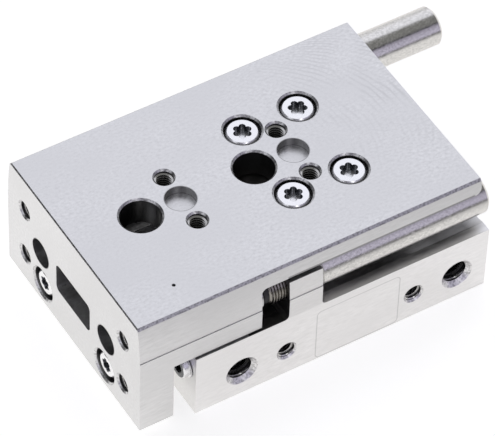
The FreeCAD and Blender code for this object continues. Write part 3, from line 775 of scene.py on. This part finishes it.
def pattern_places(entry):
    """Mouths of a mount's holes: a bolt pattern's corners, or the one mouth of a threaded hole."""
    centre = Vector(entry["pos_m"])
    axis = Vector(entry["axis"])
    dims = entry["dims"]
    if entry["kind"] == "threaded_hole":
        return [centre + axis * dims["length_mm"] * MM / 2]
    along = Vector((0, 1, 0)) if abs(axis.x) > 0.5 else Vector((1, 0, 0))
    across = Vector((0, 1, 0)) if abs(axis.z) > 0.5 else Vector((0, 0, 1))
    half_u = dims["spacing_x_mm"] * MM / 2
    half_v = dims.get("spacing_y_mm", 0) * MM / 2
    steps = (-1, 1) if half_v else (0,)
    return [centre + along * half_u * u + across * half_v * v for u in (-1, 1) for v in steps]


def tap(name, mounts, body, slot, pitch, depth):
    """Cuts one thread into each hole of some mounts, as a ridge on its wall.

    A port has a lead-in cone too, and its mount starts below the chamfer, where others start at the face.
    """
    settings = bpy.context.scene.slide_threads
    cone_land, cone_back = 0.1 * MM, 0.3 * MM
    bm = bmesh.new()
    for entry in map(mount, mounts):
        dims = entry["dims"]
        wall = dims.get("hole_r_mm", dims.get("r_mm")) * MM
        crest = wall - INNER_THREAD * pitch
        buried = wall + SUNK
        is_port = entry["kind"] == "threaded_hole"
        start = 0 if is_port else settings.first_turn
        cone_end = start + wall - crest
        cone = [(start - SUNK, buried), (cone_end, crest), (cone_end + cone_land, crest),
                (cone_end + cone_back, buried)]
        first = cone_end + 0.7 * pitch if is_port else start + 0.3 * pitch
        for mouth in pattern_places(entry):
            matrix = placed(mouth, -Vector(entry["axis"]))
            if is_port:
                add_ring(bm, matrix, cone, finish=1)
            add_thread(bm, matrix, buried, crest, pitch, first, depth)
    return finish_mesh(name, bm, body, ["cut_thread", slot])


class SLIDETABLE_OT_tap_threads(bpy.types.Operator):
    """Cut the threads of all tapped holes and ports"""
    bl_idname = "slide_table.tap_threads"
    bl_label = "Tap threads"

    def execute(self, context):
        settings = context.scene.slide_threads
        tap("tapped_table_threads", ["table_threads"], "slide", "table_aluminium",
            settings.m3_pitch, settings.table_depth)
        tap("tapped_yoke_threads", ["yoke_threads"], "slide", "table_aluminium",
            settings.m3_pitch, settings.yoke_depth)
        tap("tapped_housing_threads", ["side_threads", "base_threads"], "base", "housing_aluminium",
            settings.m3_pitch, settings.housing_depth)
        tap("tapped_port_threads", ["front_port", "rear_port"], "base", "housing_aluminium",
            settings.m5_pitch, settings.port_depth)
        return {"FINISHED"}


# Screws

def add_cap_screw(bm, head_top, direction, head_radius, head_height, radius, whole, pitch, recess):
    """Cap screw with a threaded shank.

    recess gives its lobes' outer and inner radius, its depth and where the first lobe is.
    """
    matrix = placed(head_top, direction)
    bevel = bpy.context.scene.slide_screws.head_bevel
    outer, inner, deep, phase = recess
    floor_taper, wall_taper = 0.9, 0.98
    lip, edge, point = 0.06 * MM, 0.1 * MM, 0.35 * MM
    core = radius - OUTER_THREAD * pitch
    # The recess's three bands take the second finish, steel darkened as painted shade
    add_lathe(bm, matrix, [
        (deep, lobed_ring(outer * floor_taper, inner * floor_taper, phase)),
        (deep - edge, lobed_ring(outer * wall_taper, inner * wall_taper, phase)),
        (lip, lobed_ring(outer, inner, phase)),
        (0, lobed_ring(outer + lip, inner + lip, phase)),
        (0, round_ring(head_radius - bevel)),
        (0.85 * bevel, round_ring(head_radius - 0.06 * bevel)),
        (1.1 * bevel, round_ring(head_radius)),
        (head_height - edge, round_ring(head_radius)),
        (head_height, round_ring(head_radius - edge)),
        (head_height, round_ring(core)),
        (whole - point, round_ring(core)),
        (whole, round_ring(core - 0.8 * point)),
    ], lined=3)
    add_thread(bm, matrix, core - SUNK, radius, pitch, head_height + 1.2 * pitch, whole - point)


def screw_group(name, node, body, places, direction, head, radius, whole, pitch, recess_scale, first_lobes):
    """One piece of like cap screws that stands for a node; head is the head's radius and height."""
    settings = bpy.context.scene.slide_screws
    bm = bmesh.new()
    for place, degrees in zip(places, first_lobes):
        recess = (settings.lobe_outer * recess_scale, settings.lobe_inner * recess_scale,
                  settings.recess_depth, math.radians(degrees))
        add_cap_screw(bm, place, direction, head[0], head[1], radius, whole, pitch, recess)
    return finish_mesh(name, bm, body, ["screw_steel", "recess_steel"], [node])


class SLIDETABLE_OT_fit_screws(bpy.types.Operator):
    """Fit the carriage, rod and rail screws"""
    bl_idname = "slide_table.fit_screws"
    bl_label = "Fit screws"

    def execute(self, context):
        threads = context.scene.slide_threads
        m3_head, m3_radius = 2.75 * MM, 1.5 * MM
        m3_head_height, rail_head_height = 2.0 * MM, 3.0 * MM
        m25_head, m25_radius, m25_head_height = 2.25 * MM, 1.25 * MM, 2.0 * MM
        low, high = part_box("carriage_screws")
        places = [Vector((x, y, high.z)) for x in (low.x + m3_head, high.x - m3_head)
                  for y in (low.y + m3_head, high.y - m3_head)]
        screw_group("socketed_carriage_screws", "carriage_screws", "slide", places, (0, 0, -1),
                    (m3_head, m3_head_height), m3_radius, high.z - low.z, threads.m3_pitch,
                    1.0, (0, 0, -5, 30))
        low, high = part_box("rod_screws")
        middle = (low.z + high.z) / 2
        places = [Vector((low.x, y, middle)) for y in (low.y + m25_head, high.y - m25_head)]
        screw_group("socketed_rod_screws", "rod_screws", "slide", places, (1, 0, 0),
                    (m25_head, m25_head_height), m25_radius, high.x - low.x, threads.m25_pitch,
                    0.8, (10, 25))
        low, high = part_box("rail_screws")
        places = [Vector((x, 0, high.z)) for x in (low.x + m3_head, high.x - m3_head)]
        screw_group("socketed_rail_screws", "rail_screws", "base", places, (0, 0, -1),
                    (m3_head, rail_head_height), m3_radius, high.z - low.z, threads.m3_pitch,
                    1.0, (0, 20))
        return {"FINISHED"}


# Stop cartridges and the front set screw

def add_cartridge(bm, node):
    """Threaded stud with a rubber tip's socket, polished sleeve, and hexagon in its rear end."""
    settings = bpy.context.scene.slide_screws
    pitch = bpy.context.scene.slide_threads.stop_pitch
    low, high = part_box(node)
    whole = high.x - low.x
    matrix = placed((low.x, (low.y + high.y) / 2, (low.z + high.z) / 2), (1, 0, 0))
    shoulder = whole - settings.sleeve_length
    core = settings.stud_radius - OUTER_THREAD * pitch
    bevel = settings.sleeve_chamfer
    outer = settings.sleeve_radius
    tip_bevel, lip = 0.2 * MM, 0.15 * MM
    socket_radius, socket_depth = 1.22 * MM, 2.5 * MM
    add_lathe(bm, matrix, [
        (socket_depth, round_ring(socket_radius)),
        (0, round_ring(socket_radius)),
        (0, round_ring(core - tip_bevel)),
        (tip_bevel, round_ring(core)),
        (shoulder, round_ring(core)),
        (shoulder, round_ring(outer - bevel)),
        (shoulder + bevel, round_ring(outer)),
        (whole - bevel, round_ring(outer)),
        (whole, round_ring(outer - bevel)),
        (whole, hexagon_ring(settings.key_across + 2 * lip)),
        (whole - lip, hexagon_ring(settings.key_across)),
        (whole - settings.key_depth, hexagon_ring(settings.key_across)),
    ], lined=4)
    add_thread(bm, matrix, core - SUNK, settings.stud_radius, pitch, 0.5 * pitch, shoulder - 0.1 * MM,
               finish=1)


class SLIDETABLE_OT_fit_cartridges(bpy.types.Operator):
    """Fit both stop cartridges"""
    bl_idname = "slide_table.fit_cartridges"
    bl_label = "Fit stop cartridges"

    def execute(self, context):
        for node, body in (("retract_cartridge", "base"), ("advance_cartridge", "slide")):
            bm = bmesh.new()
            add_cartridge(bm, node)
            finish_mesh("polished_" + node, bm, body, ["polished_steel", "thread_steel"],
                        [node])
        return {"FINISHED"}


class SLIDETABLE_OT_fit_set_screw(bpy.types.Operator):
    """Fit the hollow set screw at the housing's front"""
    bl_idname = "slide_table.fit_set_screw"
    bl_label = "Fit set screw"

    def execute(self, context):
        hollow = context.scene.slide_screws.socket_radius
        pitch = context.scene.slide_threads.set_screw_pitch
        low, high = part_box("front_set_screw")
        whole = high.x - low.x
        radius = (high.y - low.y) / 2
        core = radius - OUTER_THREAD * pitch
        bevel, plain, socket_depth = 0.2 * MM, 0.9 * MM, 2.5 * MM
        matrix = placed((low.x, (low.y + high.y) / 2, (low.z + high.z) / 2), (1, 0, 0))
        bm = bmesh.new()
        # The hollow and the end face take the second finish, steel darkened as painted shade
        add_lathe(bm, matrix, [
            (socket_depth, round_ring(hollow * 0.98)),
            (bevel, round_ring(hollow)),
            (0, round_ring(hollow + bevel)),
            (0, round_ring(core - bevel)),
            (bevel, round_ring(core)),
            (whole - bevel, round_ring(core)),
            (whole, round_ring(core - bevel)),
        ], lined=3)
        add_thread(bm, matrix, core - SUNK, radius, pitch, plain, whole - 0.6 * pitch)
        finish_mesh("threaded_set_screw", bm, "base", ["screw_steel", "recess_steel"],
                    ["front_set_screw"])
        return {"FINISHED"}


# Balls and seals

class SLIDETABLE_OT_fit_balls(bpy.types.Operator):
    """Fill the carriage's loaded rows with round balls"""
    bl_idname = "slide_table.fit_balls"
    bl_label = "Fit balls"

    def execute(self, context):
        settings = context.scene.slide_screws
        radius = settings.ball_radius
        low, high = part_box("carriage_balls")
        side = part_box("guide_rail")[1].y + settings.ball_row
        count = 8
        pitch = (high.x - low.x - 2 * radius) / (count - 1)
        bm = bmesh.new()
        for row in (-1, 1):
            for k in range(count):
                centre = Vector((low.x + radius + k * pitch, row * side, (low.z + high.z) / 2))
                bmesh.ops.create_uvsphere(bm, u_segments=24, v_segments=14, radius=radius,
                                          matrix=Matrix.Translation(centre))
        finish_mesh("round_carriage_balls", bm, "slide", ["polished_steel"],
                    ["carriage_balls"])
        return {"FINISHED"}


class SLIDETABLE_OT_fit_seals(bpy.types.Operator):
    """Fit round O-rings to the rear covers"""
    bl_idname = "slide_table.fit_seals"
    bl_label = "Fit O-rings"

    def execute(self, context):
        low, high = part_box("rear_cover_seals")
        section = context.scene.slide_screws.seal_radius
        section_steps = 16
        outer = (high.z - low.z) / 2
        turns = [2 * math.pi * k / section_steps for k in range(section_steps)]
        circle = [(section * math.sin(t), outer - section + section * math.cos(t)) for t in turns]
        bm = bmesh.new()
        for y in (low.y + outer, high.y - outer):
            add_ring(bm, placed(((low.x + high.x) / 2, y, (low.z + high.z) / 2), (1, 0, 0)), circle)
        finish_mesh("round_cover_seals", bm, "base", ["black_rubber"], ["rear_cover_seals"])
        return {"FINISHED"}


# Studio

def facing(tree, direction, towards, near, far):
    """1 where direction is close to towards, falling to 0; near and far are angles in degrees."""
    aim = tuple(Vector(towards).normalized())
    along = add_node(tree, "VectorMath", {0: direction, 1: aim}, operation="DOT_PRODUCT").outputs[1]
    return scaled(tree, along, math.cos(math.radians(far)), math.cos(math.radians(near)))


def paint_world():
    """Pale studio with the wall, panel and dark gaps that polished parts mirror.

    Each layer has its mask and its tone, and covers the ones before it. climb is the angle in degrees from
    the near side's horizon up and over to the far side's.
    """
    world = bpy.data.worlds.new("studio")
    bpy.context.scene.world = world
    world.use_nodes = True
    tree = world.node_tree
    direction = add_node(tree, "TexCoord", {}).outputs["Generated"]
    x, y, z = split(tree, direction)
    climb = maths(tree, "DEGREES", maths(tree, "ARCTAN2", z, maths(tree, "MULTIPLY", y, -1.0)))
    front = scaled(tree, climb, 56.0, 50.0)
    wall = mixed(tree, scaled(tree, climb, 12.0, 44.0), (0.67, 0.64, 0.79, 1), (0.43, 0.41, 0.51, 1))
    overhead = scaled(tree, climb, 140.0, 165.0)
    panel = product(tree, scaled(tree, climb, 108.0, 98.0), scaled(tree, climb, 52.0, 54.0),
                    scaled(tree, x, -0.75, -0.6))
    gap = product(tree, scaled(tree, climb, 44.0, 46.0), scaled(tree, climb, 55.5, 53.5))
    dark_left = facing(tree, direction, (-0.746, 0.56, 0.3), 20, 36)
    skirting = product(tree, within(tree, z, 0.0, 0.04), below(tree, y, 0.0))
    ground = scaled(tree, z, 0.0, -0.01)
    seen = add_node(tree, "LightPath", {}).outputs["Is Camera Ray"]
    tone = (1.055, 1.065, 1.145, 1)
    for mask, layer in (
            (front, wall),
            (overhead, (0.82, 0.82, 0.84, 1)),
            (panel, (0.25, 0.25, 0.245, 1)),
            (gap, (0.02, 0.02, 0.02, 1)),
            (dark_left, (0.02, 0.02, 0.02, 1)),
            (skirting, (0.03, 0.03, 0.035, 1)),
            (ground, (0.95, 0.95, 0.95, 1)),
            (seen, (1, 1, 1, 1))):
        tone = mixed(tree, mask, tone, layer)
    background = tree.nodes["Background"]
    tree.links.new(tone, background.inputs["Color"])
    background.inputs["Strength"].default_value = 1.0


def paint_floor():
    """Pale floor that glows for the camera and in mirrors, and takes the part's shadow on its base colour.

    What polished parts mirror of it fades towards the rear and away from the near side.
    """
    seen_glow, base = 0.72, (0.62, 0.61, 0.59, 1)
    material, tree, shader = new_material("pale_floor")
    shader.inputs["Roughness"].default_value = 0.9
    x, y, _ = split(tree, position_mm(tree))
    paths = add_node(tree, "LightPath", {}).outputs
    seen, glossy = paths["Is Camera Ray"], paths["Is Glossy Ray"]
    far = product(tree, glossy, scaled(tree, y, -95.0, -120.0))
    tree.links.new(mixed(tree, far, base, (0, 0, 0, 1)), shader.inputs["Base Color"])
    glow = mixed(tree, seen, (1.0, 0.99, 0.965, 1), (0.99, 0.995, 1, 1))
    tree.links.new(glow, shader.inputs["Emission Color"])
    mirrored = maths(tree, "MAXIMUM", glossy, paths["Is Transmission Ray"])
    lit = product(tree, scaled(tree, x, -38.0, -15.0, 0.84, 0.67), scaled(tree, y, -30.0, -110.0, 1.0, 0.3))
    strength = maths(tree, "ADD", product(tree, seen, seen_glow), product(tree, mirrored, lit))
    tree.links.new(strength, shader.inputs["Emission Strength"])
    return material


def lay_floor(settings):
    """Square floor, just below the part's underside."""
    half, level = settings.floor_size / 2, -0.02 * MM
    bm = bmesh.new()
    corners = ((-1, -1), (1, -1), (1, 1), (-1, 1))
    bm.faces.new([bm.verts.new((x * half, y * half, level)) for x, y in corners])
    mesh = bpy.data.meshes.new("floor")
    bm.to_mesh(mesh)
    bm.free()
    mesh.materials.append(paint_floor())
    floor = bpy.data.objects.new("floor", mesh)
    bpy.context.scene.collection.objects.link(floor)


def hang_lamp(settings):
    """Soft lamp on the part's near side, above the camera's right shoulder."""
    lamp = bpy.data.lights.new("soft_lamp", "AREA")
    lamp.shape = "SQUARE"
    lamp.size = settings.lamp_size
    lamp.energy = settings.lamp_power
    holder = bpy.data.objects.new("soft_lamp", lamp)
    place = Vector((-0.054, -0.765, 0.642))
    aim = place.to_track_quat("Z", "Y")
    holder.matrix_world = Matrix.Translation(place) @ aim.to_matrix().to_4x4()
    bpy.context.scene.collection.objects.link(holder)


def set_camera(settings):
    """Camera from its aim, two angles, roll and distance."""
    a, e = settings.azimuth, settings.elevation
    back = Vector((math.sin(a) * math.cos(e), -math.cos(a) * math.cos(e), math.sin(e)))
    level = Vector((math.cos(a), math.sin(a), 0))
    upright = back.cross(level)
    right = level * math.cos(settings.roll) + upright * math.sin(settings.roll)
    up = back.cross(right)
    place = Vector((settings.view_x, settings.view_y, settings.view_z)) + back * settings.distance
    camera = bpy.data.cameras.new("camera")
    camera.lens = settings.lens
    camera.clip_end = 20.0
    camera.clip_start = 0.01
    holder = bpy.data.objects.new("camera", camera)
    turn = Matrix((right, up, back)).transposed().to_4x4()
    holder.matrix_world = Matrix.Translation(place) @ turn
    bpy.context.scene.collection.objects.link(holder)
    bpy.context.scene.camera = holder


class SLIDETABLE_OT_build_studio(bpy.types.Operator):
    """Set up the floor, the light and the camera"""
    bl_idname = "slide_table.build_studio"
    bl_label = "Build studio"

    def execute(self, context):
        settings = context.scene.slide_studio
        paint_world()
        lay_floor(settings)
        hang_lamp(settings)
        set_camera(settings)
        context.scene.view_settings.view_transform = "Standard"
        return {"FINISHED"}


# Panel and registration

SETTINGS = (
    ("slide_finish", FinishSettings),
    ("slide_threads", ThreadSettings),
    ("slide_screws", ScrewSettings),
    ("slide_studio", StudioSettings),
)

OPERATORS = (
    SLIDETABLE_OT_finish_solids,
    SLIDETABLE_OT_tap_threads,
    SLIDETABLE_OT_fit_screws,
    SLIDETABLE_OT_fit_cartridges,
    SLIDETABLE_OT_fit_set_screw,
    SLIDETABLE_OT_fit_balls,
    SLIDETABLE_OT_fit_seals,
    SLIDETABLE_OT_build_studio,
)


class SLIDETABLE_PT_sidebar(bpy.types.Panel):
    bl_idname = "SLIDETABLE_PT_sidebar"
    bl_label = "Slide table"
    bl_space_type = "VIEW_3D"
    bl_region_type = "UI"
    bl_category = "Slide table"

    def draw(self, context):
        for operator in OPERATORS:
            self.layout.operator(operator.bl_idname)
        for name, group in SETTINGS:
            box = self.layout.box()
            for prop in group.__annotations__:
                box.prop(getattr(context.scene, name), prop)


def register():
    for name, group in SETTINGS:
        bpy.utils.register_class(group)
        setattr(bpy.types.Scene, name, PointerProperty(type=group))
    for cls in OPERATORS + (SLIDETABLE_PT_sidebar,):
        bpy.utils.register_class(cls)


def unregister():
    for cls in reversed(OPERATORS + (SLIDETABLE_PT_sidebar,)):
        bpy.utils.unregister_class(cls)
    for name, group in reversed(SETTINGS):
        delattr(bpy.types.Scene, name)
        bpy.utils.unregister_class(group)


def main():
    register()
    bpy.ops.slide_table.finish_solids()
    bpy.ops.slide_table.tap_threads()
    bpy.ops.slide_table.fit_screws()
    bpy.ops.slide_table.fit_cartridges()
    bpy.ops.slide_table.fit_set_screw()
    bpy.ops.slide_table.fit_balls()
    bpy.ops.slide_table.fit_seals()
    bpy.ops.slide_table.build_studio()


if __name__ == "__main__":
    main()
